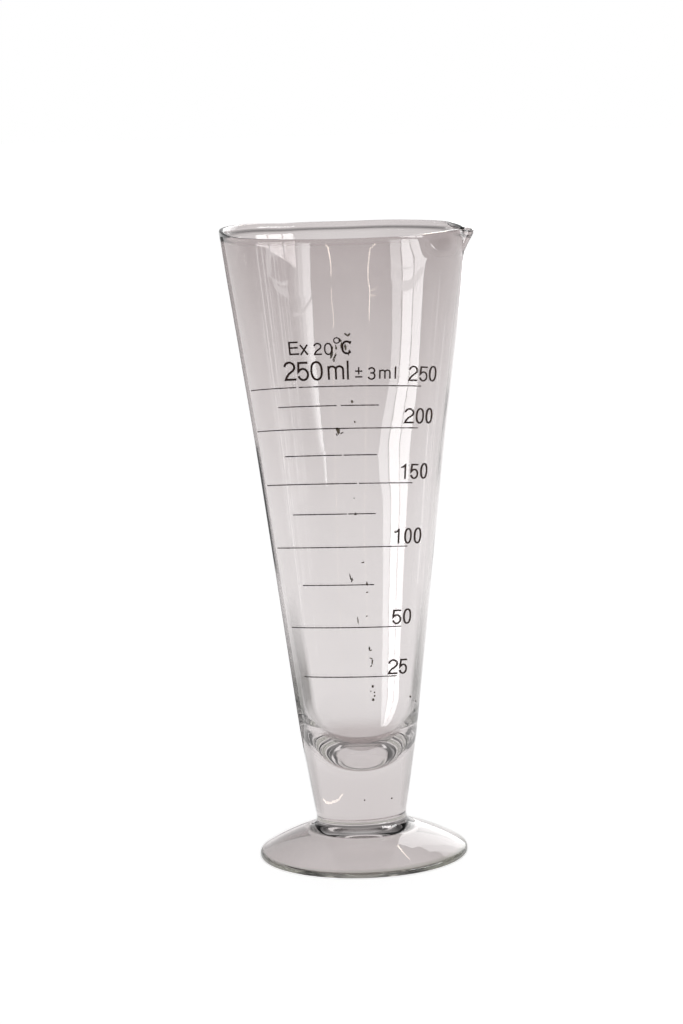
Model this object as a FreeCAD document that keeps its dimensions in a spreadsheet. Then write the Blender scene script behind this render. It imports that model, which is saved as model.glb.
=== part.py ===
import FreeCAD, Part
import Sketcher
import math
import os

# Footed measuring glass: a thin conical bowl on a solid stem and a hollow domed foot, one
# piece of glass, with a fire-polished rim and a pulled pouring lip. Its scale is fired
# brown enamel. Millimetres. The origin is on the glass's axis at the table, +Z is up, the
# scale faces -Y and the lip points along +X.

V = FreeCAD.Vector
UP = V(0, 0, 1)
doc = FreeCAD.newDocument("footed_measuring_glass")

SIZES = {
    # foot: a dome of even thickness on a narrow flat ring
    "foot_radius": 35.0,
    "foot_thickness": 2.2,
    "foot_hollow_radius": 64.0,
    "rest_ring_width": 1.0,
    "foot_top_bevel": 0.8,
    "foot_bottom_bevel": 0.4,
    # stem: the solid neck, and the collar where it was fused to the foot
    "collar_radius": 19.2,
    "stem_radius": 15.1,
    "stem_fillet": 4.4,
    # bowl, outside: cones of slightly different slope
    "stem_top_height": 41.0,
    "stem_top_radius": 19.55,
    "flare_height": 140.0,
    "flare_radius": 31.45,
    "rim_height": 210.0,
    "rim_radius": 41.0,
    # bowl, inside: cones that run out into a narrow rounded bottom
    "cavity_floor_height": 30.0,
    "cavity_bottom_radius": 12.5,
    "cavity_side_radius": 32.0,
    "wall_low_height": 70.0,
    "wall_low": 2.0,
    "wall_flare": 1.25,
    "wall_top": 1.2,
    "wall_rim": 1.6,
    "rim_bevel": 0.45,
    "rim_bevel_depth": 0.5,
    # mouth: round at its root, with flattened shoulders and a small lip at the rim
    "lip_depth": 9.2,
    "lip_reach": 2.9,
    "lip_radius": 4.9,
    "lip_side_angle": 69.9,
    "lip_corner_radius": 2.4,
    "lip_root_angle": 2.3,
    "corner_root_angle": 4.4,
    "flank_root_angle": 36.0,
    "shoulder_angle": 52.0,
    "shoulder_blend": 22.0,
    # scale: thin raised lines, all tilted alike
    "enamel_thickness": 0.12,
    "line_width": 0.38,
    "line_tilt": 8.7,
    "line_turn": 8.0,
    "scale_margin": 6.0,
}

# Each graduation in millilitres: its height at the front of the wall, and the angles that
# it runs round the wall to the left and to the right of the front.
GRADUATIONS = {
    25: (64.6, 38.6, 48.4),
    50: (81.5, 47.6, 50.5),
    75: (95.9, 27.2, 27.0),
    100: (108.6, 52.3, 52.7),
    125: (119.7, 28.8, 28.0),
    150: (129.8, 54.2, 54.1),
    175: (139.2, 29.9, 28.7),
    200: (148.0, 56.7, 55.9),
    225: (155.5, 30.2, 29.5),
    250: (161.8, 56.0, 56.2),
}
for volume, (height, left, right) in GRADUATIONS.items():
    SIZES["line_%d_height" % volume] = height
    SIZES["line_%d_left" % volume] = left
    SIZES["line_%d_right" % volume] = right

sheet = doc.addObject("Spreadsheet::Sheet", "sizes")
for row, (alias, number) in enumerate(SIZES.items(), start=1):
    sheet.set("A%d" % row, alias)
    sheet.set("B%d" % row, str(number))
    sheet.setAlias("B%d" % row, alias)
doc.recompute()

# Sizes that follow from the sheet, as expressions.
S = "<<sizes>>."
REST_INNER = S + "foot_radius - " + S + "foot_bottom_bevel - " + S + "rest_ring_width"
LIP_BASE = S + "rim_height - " + S + "lip_depth"
LOWER_SLOPE = ("(" + S + "flare_radius - " + S + "stem_top_radius) / ("
               + S + "flare_height - " + S + "stem_top_height)")
UPPER_SLOPE = ("(" + S + "rim_radius - " + S + "flare_radius) / ("
               + S + "rim_height - " + S + "flare_height)")
LIP_BASE_RADIUS = S + "rim_radius - " + S + "lip_depth * " + UPPER_SLOPE
SCALE_LOW = S + "line_25_height - " + S + "scale_margin"
SCALE_HIGH = S + "line_250_height + " + S + "scale_margin"


def wall_radius(height):
    """The bowl's outer radius at a height."""
    lower = S + "stem_top_radius + (" + height + " - " + S + "stem_top_height) * " + LOWER_SLOPE
    upper = S + "flare_radius + (" + height + " - " + S + "flare_height) * " + UPPER_SLOPE
    return "(" + height + " < " + S + "flare_height ? " + lower + " : " + upper + ")"


WALL_LOW_RADIUS = wall_radius(S + "wall_low_height") + " - " + S + "wall_low"


def size(alias):
    """The number in a cell of the sheet."""
    return float(sheet.get(alias))


def value(expression):
    """What an expression over the sheet comes to."""
    return float(sheet.evalExpression(expression.replace(S, "")))


def polar(radius, degrees):
    return V(math.cos(math.radians(degrees)), math.sin(math.radians(degrees)), 0) * radius


def new_sketch(body, name, plane="XZ_Plane", height=None):
    """A sketch on one of the body's own planes; height lifts it off the table."""
    sketch = body.newObject("Sketcher::SketchObject", name)
    support = [f for f in body.Origin.OriginFeatures if f.Role == plane][0]
    sketch.AttachmentSupport = [(support, "")]
    sketch.MapMode = "FlatFace"
    if height:
        sketch.setExpression("AttachmentOffset.Base.z", height)
    return sketch


def line(start, end):
    return Part.LineSegment(start, end), 1, 2


def arc(centre, start, end):
    """The short way round a centre, with the numbers of its start and its end."""
    turn = (start - centre).cross(end - centre).z
    first, last = (start, end) if turn > 0 else (end, start)
    angles = [math.atan2(p.y - centre.y, p.x - centre.x) for p in (first, last)]
    circle = Part.Circle(centre, UP, centre.distanceToPoint(start))
    return (Part.ArcOfCircle(circle, *angles),) + ((1, 2) if turn > 0 else (2, 1))


def draw(sketch, edges, smooth=()):
    """Adds a closed chain of edges. Those numbered in smooth run on into the next edge."""
    for geometry, _, _ in edges:
        sketch.addGeometry(geometry, False)
    for number, (_, _, end) in enumerate(edges):
        after = (number + 1) % len(edges)
        kind = "Tangent" if number in smooth else "Coincident"
        sketch.addConstraint(Sketcher.Constraint(kind, number, end, after, edges[after][1]))


def rule(sketch, *words):
    sketch.addConstraint(Sketcher.Constraint(*words))


def hold(sketch, name, kind, where, expression):
    """Adds a dimension that is tied to the sheet."""
    number = sketch.addConstraint(Sketcher.Constraint(kind, *where, value(expression)))
    sketch.renameConstraint(number, name)
    sketch.setExpression("Constraints." + name, expression)


def place(sketch, name, corner, across, up):
    """Holds a corner at given coordinates."""
    hold(sketch, name + "_across", "DistanceX", (-1, 1) + corner, across)
    hold(sketch, name + "_up", "DistanceY", (-1, 1) + corner, up)


def outside_profile(body):
    """Half section of the glass as if solid, from the hollow of its foot to the lip's root."""
    sketch = new_sketch(body, "outside_profile")
    rest_inner = V(value(REST_INNER), 0, 0)
    hollow = size("foot_hollow_radius")
    dome = hollow + size("foot_thickness")
    dome_centre = V(0, -math.sqrt(hollow ** 2 - rest_inner.x ** 2), 0)
    apex = dome_centre + V(0, hollow, 0)
    rest_outer = V(size("foot_radius"), 0, 0)
    edge = V(rest_outer.x, dome_centre.y + math.sqrt(dome ** 2 - rest_outer.x ** 2), 0)
    reach = size("collar_radius")
    collar = V(reach, dome_centre.y + math.sqrt(dome ** 2 - reach ** 2), 0)
    fillet = size("stem_fillet")
    fillet_centre = V(size("stem_radius") + fillet, 0, 0)
    fillet_centre.y = collar.y + math.sqrt(fillet ** 2 - (fillet_centre.x - collar.x) ** 2)
    stem_top = V(size("stem_top_radius"), size("stem_top_height"), 0)
    flare = V(size("flare_radius"), size("flare_height"), 0)
    lip_base = V(value(LIP_BASE_RADIUS), value(LIP_BASE), 0)
    away = stem_top - fillet_centre
    lean = math.degrees(math.atan2(away.y, away.x) + math.acos(fillet / away.Length))
    waist = fillet_centre + polar(fillet, lean)
    axis_top = V(0, lip_base.y, 0)
    draw(sketch, [
        arc(dome_centre, apex, rest_inner),
        line(rest_inner, rest_outer),
        line(rest_outer, edge),
        arc(dome_centre, edge, collar),
        arc(fillet_centre, collar, waist),
        line(waist, stem_top),
        line(stem_top, flare),
        line(flare, lip_base),
        line(lip_base, axis_top),
        line(axis_top, apex),
    ], smooth=(4,))
    hollow, rest, side, dome, fillet, stem, cone, top, lid, axis = range(10)
    rule(sketch, "PointOnObject", hollow, 3, -2)
    rule(sketch, "Coincident", dome, 3, hollow, 3)
    rule(sketch, "PointOnObject", axis, 1, -2)
    rule(sketch, "PointOnObject", axis, 2, -2)
    rule(sketch, "PointOnObject", rest, 1, -1)
    rule(sketch, "PointOnObject", rest, 2, -1)
    rule(sketch, "Vertical", side)
    rule(sketch, "Horizontal", lid)
    hold(sketch, "rest_inner", "DistanceX", (-1, 1, rest, 1), REST_INNER)
    hold(sketch, "foot_radius", "DistanceX", (-1, 1, rest, 2), S + "foot_radius")
    hold(sketch, "hollow_radius", "Radius", (hollow,), S + "foot_hollow_radius")
    hold(sketch, "dome_radius", "Radius", (dome,), S + "foot_hollow_radius + " + S + "foot_thickness")
    hold(sketch, "collar_radius", "DistanceX", (-1, 1, dome, 2), S + "collar_radius")
    hold(sketch, "stem_fillet", "Radius", (fillet,), S + "stem_fillet")
    hold(sketch, "stem_fillet_centre", "DistanceX", (-1, 1, fillet, 3),
         S + "stem_radius + " + S + "stem_fillet")
    place(sketch, "stem_top", (stem, 2), S + "stem_top_radius", S + "stem_top_height")
    place(sketch, "flare", (cone, 2), S + "flare_radius", S + "flare_height")
    place(sketch, "lip_base", (top, 2), LIP_BASE_RADIUS, LIP_BASE)
    return sketch


def cavity_profile(body):
    """Half section of the bowl's hollow, up to the lip's root."""
    sketch = new_sketch(body, "cavity_profile")
    top = V(value(LIP_BASE_RADIUS) - size("wall_top"), value(LIP_BASE), 0)
    flare = V(size("flare_radius") - size("wall_flare"), size("flare_height"), 0)
    low = V(value(WALL_LOW_RADIUS), size("wall_low_height"), 0)
    floor = V(0, size("cavity_floor_height"), 0)
    bottom = size("cavity_bottom_radius")
    side = size("cavity_side_radius")
    bottom_centre = floor + V(0, bottom, 0)
    slope = (flare - low).normalize()
    inward = V(-slope.y, slope.x, 0)
    across = (low - bottom_centre).dot(inward) + side
    side_centre = bottom_centre + inward * across + slope * math.sqrt((side - bottom) ** 2 - across ** 2)
    meets_cone = side_centre - inward * side
    meets_bottom = bottom_centre + (bottom_centre - side_centre).normalize() * bottom
    axis_top = V(0, top.y, 0)
    draw(sketch, [
        line(axis_top, top),
        line(top, flare),
        line(flare, meets_cone),
        arc(side_centre, meets_cone, meets_bottom),
        arc(bottom_centre, meets_bottom, floor),
        line(floor, axis_top),
    ], smooth=(2, 3))
    lid, upper, cone, side, bottom, axis = range(6)
    rule(sketch, "Horizontal", lid)
    rule(sketch, "PointOnObject", axis, 1, -2)
    rule(sketch, "PointOnObject", axis, 2, -2)
    rule(sketch, "PointOnObject", bottom, 3, -2)
    place(sketch, "lip_base", (upper, 1), LIP_BASE_RADIUS + " - " + S + "wall_top", LIP_BASE)
    place(sketch, "flare", (cone, 1), S + "flare_radius - " + S + "wall_flare", S + "flare_height")
    low_point = sketch.addGeometry(Part.Point(low), True)
    place(sketch, "wall_low", (low_point, 1), WALL_LOW_RADIUS, S + "wall_low_height")
    rule(sketch, "PointOnObject", low_point, 1, cone)
    hold(sketch, "side_radius", "Radius", (side,), S + "cavity_side_radius")
    hold(sketch, "bottom_radius", "Radius", (bottom,), S + "cavity_bottom_radius")
    hold(sketch, "floor", "DistanceY", (-1, 1, axis, 1), S + "cavity_floor_height")
    return sketch


# The edges round the mouth, from the back along -Y to the lip's tip and back along +Y.
BACK, BLEND, FLANK, CORNER, LIP, LIP_2, CORNER_2, FLANK_2, BLEND_2, BACK_2 = range(10)


def both_sides(half):
    """The edges round the mouth from those of its +Y half. Each is given by its centre, or
    None for a straight one, and its two ends."""
    flip = lambda point: V(point.x, -point.y, 0)
    there = [arc(flip(c), flip(a), flip(b)) if c else line(flip(a), flip(b)) for c, a, b in half]
    again = [arc(c, b, a) if c else line(b, a) for c, a, b in reversed(half)]
    return there + again


def mouth_outline(body, name, inset, height):
    """The mouth from above, inset from its outer edge: a circle whose shoulders flatten
    towards a small rounded lip on +X, with a hollow corner at each side of the lip."""
    sketch = new_sketch(body, name, "XY_Plane", height)
    rim = size("rim_radius") - value(inset)
    blend = size("shoulder_blend") - value(inset)
    lip = size("lip_radius") - value(inset)
    corner = size("lip_corner_radius") + value(inset)
    shoulder = polar(rim, size("shoulder_angle"))
    blend_centre = polar(rim - blend, size("shoulder_angle"))
    lip_centre = V(size("rim_radius") + size("lip_reach") - size("lip_radius"), 0, 0)
    lip_end = lip_centre + polar(lip, size("lip_side_angle"))
    corner_centre = lip_centre + polar(lip + corner, size("lip_side_angle"))
    between = corner_centre - blend_centre
    tilt = math.degrees(math.atan2(between.y, between.x) + math.acos((blend + corner) / between.Length))
    flank_start = blend_centre + polar(blend, tilt)
    flank_end = corner_centre - polar(corner, tilt)
    draw(sketch, both_sides([
        (V(0, 0, 0), V(-rim, 0, 0), shoulder),
        (blend_centre, shoulder, flank_start),
        (None, flank_start, flank_end),
        (corner_centre, flank_end, lip_end),
        (lip_centre, lip_end, lip_centre + V(lip, 0, 0)),
    ]), smooth=(BACK, BLEND, FLANK, CORNER, LIP_2, CORNER_2, FLANK_2, BLEND_2))
    less = " - (" + inset + ")"
    more = " + (" + inset + ")"
    rule(sketch, "Coincident", BACK, 3, -1, 1)
    rule(sketch, "Coincident", BACK_2, 3, -1, 1)
    rule(sketch, "PointOnObject", BACK, 1, -1)
    rule(sketch, "PointOnObject", LIP, 3, -1)
    rule(sketch, "PointOnObject", LIP_2, 1, -1)
    rule(sketch, "Coincident", LIP_2, 3, LIP, 3)
    hold(sketch, "rim_radius", "Radius", (BACK,), S + "rim_radius" + less)
    hold(sketch, "lip_radius", "Radius", (LIP,), S + "lip_radius" + less)
    hold(sketch, "lip_centre", "DistanceX", (-1, 1, LIP, 3),
         S + "rim_radius + " + S + "lip_reach - " + S + "lip_radius")
    blend_up = "(" + S + "rim_radius - " + S + "shoulder_blend) * sin(" + S + "shoulder_angle)"
    corner_up = "(" + S + "lip_radius + " + S + "lip_corner_radius) * sin(" + S + "lip_side_angle)"
    for sign, side, bend in (("-", BLEND, CORNER), ("", BLEND_2, CORNER_2)):
        hold(sketch, "blend_radius_%d" % side, "Radius", (side,), S + "shoulder_blend" + less)
        hold(sketch, "blend_centre_%d" % side, "DistanceY", (-1, 1, side, 3), sign + blend_up)
        hold(sketch, "corner_radius_%d" % bend, "Radius", (bend,), S + "lip_corner_radius" + more)
        hold(sketch, "corner_centre_%d" % bend, "DistanceY", (-1, 1, bend, 3), sign + corner_up)
    return sketch


def root_outline(body, name, inset):
    """The round wall at the lip's root, cut into arcs that match the mouth's edges."""
    sketch = new_sketch(body, name, "XY_Plane", LIP_BASE)
    radius = LIP_BASE_RADIUS + " - (" + inset + ")"
    angles = [S + "shoulder_angle", S + "flank_root_angle", S + "corner_root_angle", S + "lip_root_angle"]
    ends = [180.0] + [value(angle) for angle in angles] + [0.0]
    points = [polar(value(radius), end) for end in ends]
    draw(sketch, both_sides([(V(0, 0, 0), a, b) for a, b in zip(points, points[1:])]))
    for side in range(BACK_2):
        rule(sketch, "Coincident", side, 3, -1, 1)
    rule(sketch, "Equal", BACK, BACK_2)
    rule(sketch, "PointOnObject", BACK, 1, -1)
    rule(sketch, "PointOnObject", LIP_2, 1, -1)
    hold(sketch, "radius", "Radius", (BACK,), radius)
    for number, angle in enumerate(angles):
        up = "(" + radius + ") * sin(" + angle + ")"
        hold(sketch, "front_%d" % number, "DistanceY", (-1, 1, number, 2), "-" + up)
        hold(sketch, "behind_%d" % number, "DistanceY", (-1, 1, BACK_2 - number, 1), up)
    return sketch


def turned(body, kind, name, sketch):
    """A full turn of a profile about the glass's axis, added or taken away."""
    feature = body.newObject("PartDesign::" + kind, name)
    feature.Profile = sketch
    feature.ReferenceAxis = (sketch, ["V_Axis"])
    feature.Angle = 360
    doc.recompute()
    return feature


def pulled(body, kind, name, inset_root, inset_edge, inset_rim):
    """The mouth from its round root to the edge of the rim, and over a bevel to the top,
    added or taken away. Each level is inset from the mouth's outer edge."""
    edge_height = S + "rim_height - " + S + "rim_bevel_depth"
    root = root_outline(body, name + "_root", inset_root)
    edge = mouth_outline(body, name + "_edge", inset_edge, edge_height)
    top = mouth_outline(body, name + "_top", inset_rim, S + "rim_height")
    feature = body.newObject("PartDesign::" + kind, name)
    feature.Profile = root
    feature.Sections = [edge, top]
    feature.Ruled = True
    doc.recompute()
    return feature


def bevelled(body, name, base, width, height, reach=None):
    """Bevels the edges that lie at a height, at any distance from the axis or at one."""
    near = lambda number, target: abs(number - target) < 1e-4
    chosen = []
    for number, edge in enumerate(base.Shape.Edges, start=1):
        points = [vertex.Point for vertex in edge.Vertexes]
        level = all(near(p.z, height) for p in points)
        if level and (reach is None or all(near(math.hypot(p.x, p.y), reach) for p in points)):
            chosen.append("Edge%d" % number)
    feature = body.newObject("PartDesign::Chamfer", name)
    feature.Base = (base, chosen)
    feature.setExpression("Size", width)
    doc.recompute()
    return feature


def make_glass():
    """Turned solid, its mouth pulled to a lip, hollowed, and its edges melted back."""
    body = doc.addObject("PartDesign::Body", "measuring_glass")
    outside = outside_profile(body)
    turned(body, "Revolution", "outside", outside)
    pulled(body, "AdditiveLoft", "mouth", "0", "0", S + "rim_bevel")
    turned(body, "Groove", "bowl_hollow", cavity_profile(body))
    rim = pulled(body, "SubtractiveLoft", "mouth_hollow", S + "wall_top", S + "wall_rim",
                 S + "wall_rim - " + S + "rim_bevel")
    foot = size("foot_radius")
    dome = size("foot_hollow_radius") + size("foot_thickness")
    drop = math.sqrt(size("foot_hollow_radius") ** 2 - value(REST_INNER) ** 2)
    edge_height = math.sqrt(dome ** 2 - foot ** 2) - drop
    upper = bevelled(body, "foot_top_edge", rim, S + "foot_top_bevel", edge_height, foot)
    bevelled(body, "foot_bottom_edge", upper, S + "foot_bottom_bevel", 0, foot)
    return body


def make_enamel_band():
    """A skin on the wall, as thick as the enamel, over the height of the whole scale."""
    body = doc.addObject("PartDesign::Body", "enamel_band")
    sketch = new_sketch(body, "enamel_profile")
    out = V(size("enamel_thickness"), 0, 0)
    low = V(value(wall_radius(SCALE_LOW)), value(SCALE_LOW), 0)
    high = V(value(wall_radius(SCALE_HIGH)), value(SCALE_HIGH), 0)
    flare = V(size("flare_radius"), size("flare_height"), 0)
    draw(sketch, [
        line(low, flare),
        line(flare, high),
        line(high, high + out),
        line(high + out, flare + out),
        line(flare + out, low + out),
        line(low + out, low),
    ])
    lower, upper, roof, upper_face, lower_face, sill = range(6)
    rule(sketch, "Horizontal", roof)
    rule(sketch, "Horizontal", sill)
    thicker = " + " + S + "enamel_thickness"
    place(sketch, "low", (lower, 1), wall_radius(SCALE_LOW), SCALE_LOW)
    place(sketch, "flare", (lower, 2), S + "flare_radius", S + "flare_height")
    place(sketch, "high", (upper, 2), wall_radius(SCALE_HIGH), SCALE_HIGH)
    place(sketch, "flare_face", (lower_face, 1), S + "flare_radius" + thicker, S + "flare_height")
    hold(sketch, "low_face", "DistanceX", (-1, 1, sill, 1), wall_radius(SCALE_LOW) + thicker)
    hold(sketch, "high_face", "DistanceX", (-1, 1, roof, 2), wall_radius(SCALE_HIGH) + thicker)
    turned(body, "Revolution", "enamel_skin", sketch)
    return body


def make_graduations():
    """Thin slices, tilted alike, each as wide as its line, keep the skin where a line is."""
    band = make_enamel_band()
    tilt = S + "line_tilt"
    turn = S + "line_turn"
    slices = []
    for volume in GRADUATIONS:
        front = S + "line_%d_height" % volume
        left = S + "line_%d_left" % volume
        right = S + "line_%d_right" % volume
        rise = "tan(" + tilt + ") * cos(" + turn + ") * " + wall_radius(front)
        on_axis = "(" + front + " - " + rise + ")"
        piece = doc.addObject("Part::Cylinder", "slice_%d" % volume)
        piece.setExpression("Radius", S + "rim_radius + " + S + "scale_margin")
        piece.setExpression("Height", S + "line_width")
        piece.setExpression("Angle", left + " + " + right)
        aside = on_axis + " * sin(" + tilt + ")"
        piece.setExpression("Placement.Base.x", aside + " * sin(" + turn + ")")
        piece.setExpression("Placement.Base.y", "-" + aside + " * cos(" + turn + ")")
        piece.setExpression("Placement.Base.z",
                            on_axis + " * cos(" + tilt + ") - " + S + "line_width / 2")
        piece.setExpression("Placement.Rotation.Angle", "-90 - " + left)
        slices.append(piece)
    tilted = doc.addObject("Part::Compound", "slices")
    tilted.Links = slices
    axis = FreeCAD.Rotation(V(0, 0, 1), size("line_turn")).multVec(V(1, 0, 0))
    tilted.Placement.Rotation = FreeCAD.Rotation(axis, -size("line_tilt"))
    tilted.setExpression("Placement.Rotation.Axis.x", "cos(" + turn + ")")
    tilted.setExpression("Placement.Rotation.Axis.y", "sin(" + turn + ")")
    tilted.setExpression("Placement.Rotation.Angle", "-" + tilt)
    lines = doc.addObject("Part::Common", "graduation_marks")
    lines.Base = band
    lines.Tool = tilted
    doc.recompute()
    return lines


parts = [make_glass(), make_graduations()]

os.makedirs("parts", exist_ok=True)
for item in doc.Objects:
    if "Invalid" in item.State or "Error" in item.State:
        raise RuntimeError(item.Name + " failed: " + ", ".join(item.State))
for part in parts:
    part.Label = part.Name
    shape = part.Shape
    if shape.isNull() or not shape.isValid():
        raise RuntimeError(part.Name + " has no valid shape")
    print(part.Label, len(shape.Solids), "solids", round(shape.Volume, 1), "mm3")
    shape.exportStep(os.path.join("parts", part.Label + ".step"))
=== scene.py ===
import math
import random

import bmesh
import bpy
import numpy as np
from mathutils import Matrix, Vector


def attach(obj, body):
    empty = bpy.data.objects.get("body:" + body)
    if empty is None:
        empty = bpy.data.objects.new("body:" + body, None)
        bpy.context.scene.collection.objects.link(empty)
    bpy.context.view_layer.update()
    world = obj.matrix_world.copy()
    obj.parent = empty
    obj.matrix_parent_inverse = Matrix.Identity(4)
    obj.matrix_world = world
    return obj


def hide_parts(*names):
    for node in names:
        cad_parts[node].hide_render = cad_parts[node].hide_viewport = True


# Footed measuring glass: clear, slightly mauve glass with a worn brown enamel scale.
# Lengths below are millimetres unless a name says otherwise. The glass's axis is Z, the
# scale faces -Y and the lip points along +X.

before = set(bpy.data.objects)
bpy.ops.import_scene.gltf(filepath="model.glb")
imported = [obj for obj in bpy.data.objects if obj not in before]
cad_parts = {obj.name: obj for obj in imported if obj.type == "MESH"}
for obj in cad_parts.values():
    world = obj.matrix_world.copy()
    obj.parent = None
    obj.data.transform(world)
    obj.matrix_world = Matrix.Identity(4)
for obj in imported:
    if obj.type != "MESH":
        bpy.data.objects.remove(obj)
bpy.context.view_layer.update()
MM = 0.001

# The glass's outside, from the foot up
FOOT_RADIUS = 35.0
FOOT_THICKNESS = 2.2
HOLLOW_RADIUS = 64.0
REST_INNER = 33.6
FOOT_TOP_ROUNDING = 1.0
FOOT_LOW_ROUNDING = 0.6
COLLAR_RADIUS = 19.2
STEM_RADIUS = 15.1
STEM_FILLET = 4.4
STEM_TOP = (19.55, 41.0)
STEM_TOP_ROUNDING = 7
FLARE = (31.45, 140.0)
FLARE_ROUNDING = 9
RIM_RADIUS = 41.0
RIM_HEIGHT = 210.0
# The bowl's inside
FLOOR_HEIGHT = 30.0
BOTTOM_RADIUS = 12.5
SIDE_RADIUS = 32.0
WALL_LOW = (2.0, 70.0)
WALL_FLARE = 1.25
FLARE_ROUNDING_INSIDE = 10
WALL_TOP = 1.2
# The melted rim: a bead at the far side, turned over its top and in, and a plain edge nearer
BEAD_HALF_WIDTH = 1.05
BEAD_HALF_HEIGHT = 1.3
BEAD_TURN = math.radians(245)
EDGE_ROUNDING = 0.3
# The mouth
LIP_DEPTH = 9.2
LIP_BASE = RIM_HEIGHT - LIP_DEPTH
LIP_REACH = 2.9
LIP_RADIUS = 4.9
LIP_SIDE_ANGLE = 69.9
LIP_CORNER_RADIUS = 2.4
LIP_ROOT_ANGLE = 2.3
CORNER_ROOT_ANGLE = 4.4
FLANK_ROOT_ANGLE = 36.0
SHOULDER_ANGLE = 52.0
SHOULDER_BLEND = 22.0
PULL_POWER = 1.25
LIP_DROOP = 0.9
DROOP_CENTRE = 44.0
DROOP_SPREAD = 40.0
# How far hand work left things out of true
BOWL_SHIFT = 0.65
FOOT_SHIFT = 0.6
WAVES_OUTSIDE = 0.05
WAVES_INSIDE = 0.10
NEAR_RIM_DROP = 0.8
FAR_RIM_RISE = 0.4
SIDE_RIM_RISE = 0.25
LEFT_RIM_RISE = 1.0
CAMERA_AZIMUTH = 12.8
# Rows of the glass's mesh
OUTER_ROWS = 92
INNER_ROWS = 78
MOUTH_ROWS = 15
BEAD_ROWS = 20
BEAD_ROWS_OUTSIDE = 8
MOUTH_INSIDE_ROWS = 11


def polar(radius, degrees):
    a = math.radians(degrees)
    return np.array([radius * math.cos(a), radius * math.sin(a)])


def bend(before, corner, after, reach, count=9):
    """Points that round a corner off, from reach before it to reach after it."""
    before, corner, after = (np.array(p, float) for p in (before, corner, after))
    start = corner + (before - corner) / np.linalg.norm(before - corner) * reach
    end = corner + (after - corner) / np.linalg.norm(after - corner) * reach
    t = np.linspace(0, 1, count)[:, None]
    return (1 - t) ** 2 * start + 2 * t * (1 - t) * corner + t ** 2 * end


def on_arc(centre, radius, start, end, count):
    """Points on an arc, by angle in radians."""
    angles = np.linspace(start, end, count)
    return np.column_stack([centre[0] + radius * np.cos(angles),
                            centre[1] + radius * np.sin(angles)])


TOP_SLOPE = (RIM_RADIUS - FLARE[0]) / (RIM_HEIGHT - FLARE[1])
LIP_BASE_RADIUS = RIM_RADIUS - LIP_DEPTH * TOP_SLOPE
DOME_CENTRE = -math.sqrt(HOLLOW_RADIUS ** 2 - REST_INNER ** 2)
DOME_RADIUS = HOLLOW_RADIUS + FOOT_THICKNESS


def dome_height(radius):
    """The height of the foot's dome at a radius."""
    return DOME_CENTRE + math.sqrt(DOME_RADIUS ** 2 - radius ** 2)


def foot_and_stem():
    """The outside from under the foot's middle, over the foot's dome, to the stem's waist."""
    centre = (0.0, DOME_CENTRE)
    inner_end = math.atan2(-DOME_CENTRE, REST_INNER)
    hollow = on_arc(centre, HOLLOW_RADIUS, math.pi / 2, inner_end, 26)[1:]
    ring = bend((FOOT_RADIUS - 1, 0), (FOOT_RADIUS, 0), (FOOT_RADIUS, 5), FOOT_LOW_ROUNDING, 6)
    dome_edge = (FOOT_RADIUS, dome_height(FOOT_RADIUS))
    inward = (FOOT_RADIUS - 3, dome_height(FOOT_RADIUS - 3))
    brim = bend((FOOT_RADIUS, 0), dome_edge, inward, FOOT_TOP_ROUNDING, 8)
    collar_height = dome_height(COLLAR_RADIUS)
    dome = on_arc(centre, DOME_RADIUS, math.atan2(brim[-1][1] - DOME_CENTRE, brim[-1][0]),
                  math.atan2(collar_height - DOME_CENTRE, COLLAR_RADIUS), 20)[1:]
    fillet_x = STEM_RADIUS + STEM_FILLET
    rise = math.sqrt(STEM_FILLET ** 2 - (fillet_x - COLLAR_RADIUS) ** 2)
    fillet_centre = (fillet_x, collar_height + rise)
    away = np.array(STEM_TOP) - fillet_centre
    lean = math.atan2(away[1], away[0]) + math.acos(STEM_FILLET / np.linalg.norm(away))
    start = math.atan2(collar_height - fillet_centre[1], COLLAR_RADIUS - fillet_x)
    fillet = on_arc(fillet_centre, STEM_FILLET, start, lean - 2 * math.pi, 20)[1:]
    return np.vstack([hollow, ring, brim, dome, fillet])


def wall_line(corners, reach, count):
    """A long wall through corners, each rounded off over its own reach."""
    pieces = [np.array([corners[0]], float)]
    for before, corner, after, length in zip(corners, corners[1:], corners[2:], reach):
        pieces.append(bend(before, corner, after, length, 15))
    pieces.append(np.array([corners[-1]], float))
    rough = np.vstack(pieces)
    heights = np.linspace(rough[0][1], rough[-1][1], count)
    order = np.argsort(rough[:, 1])
    return np.column_stack([np.interp(heights, rough[order, 1], rough[order, 0]), heights])


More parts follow.
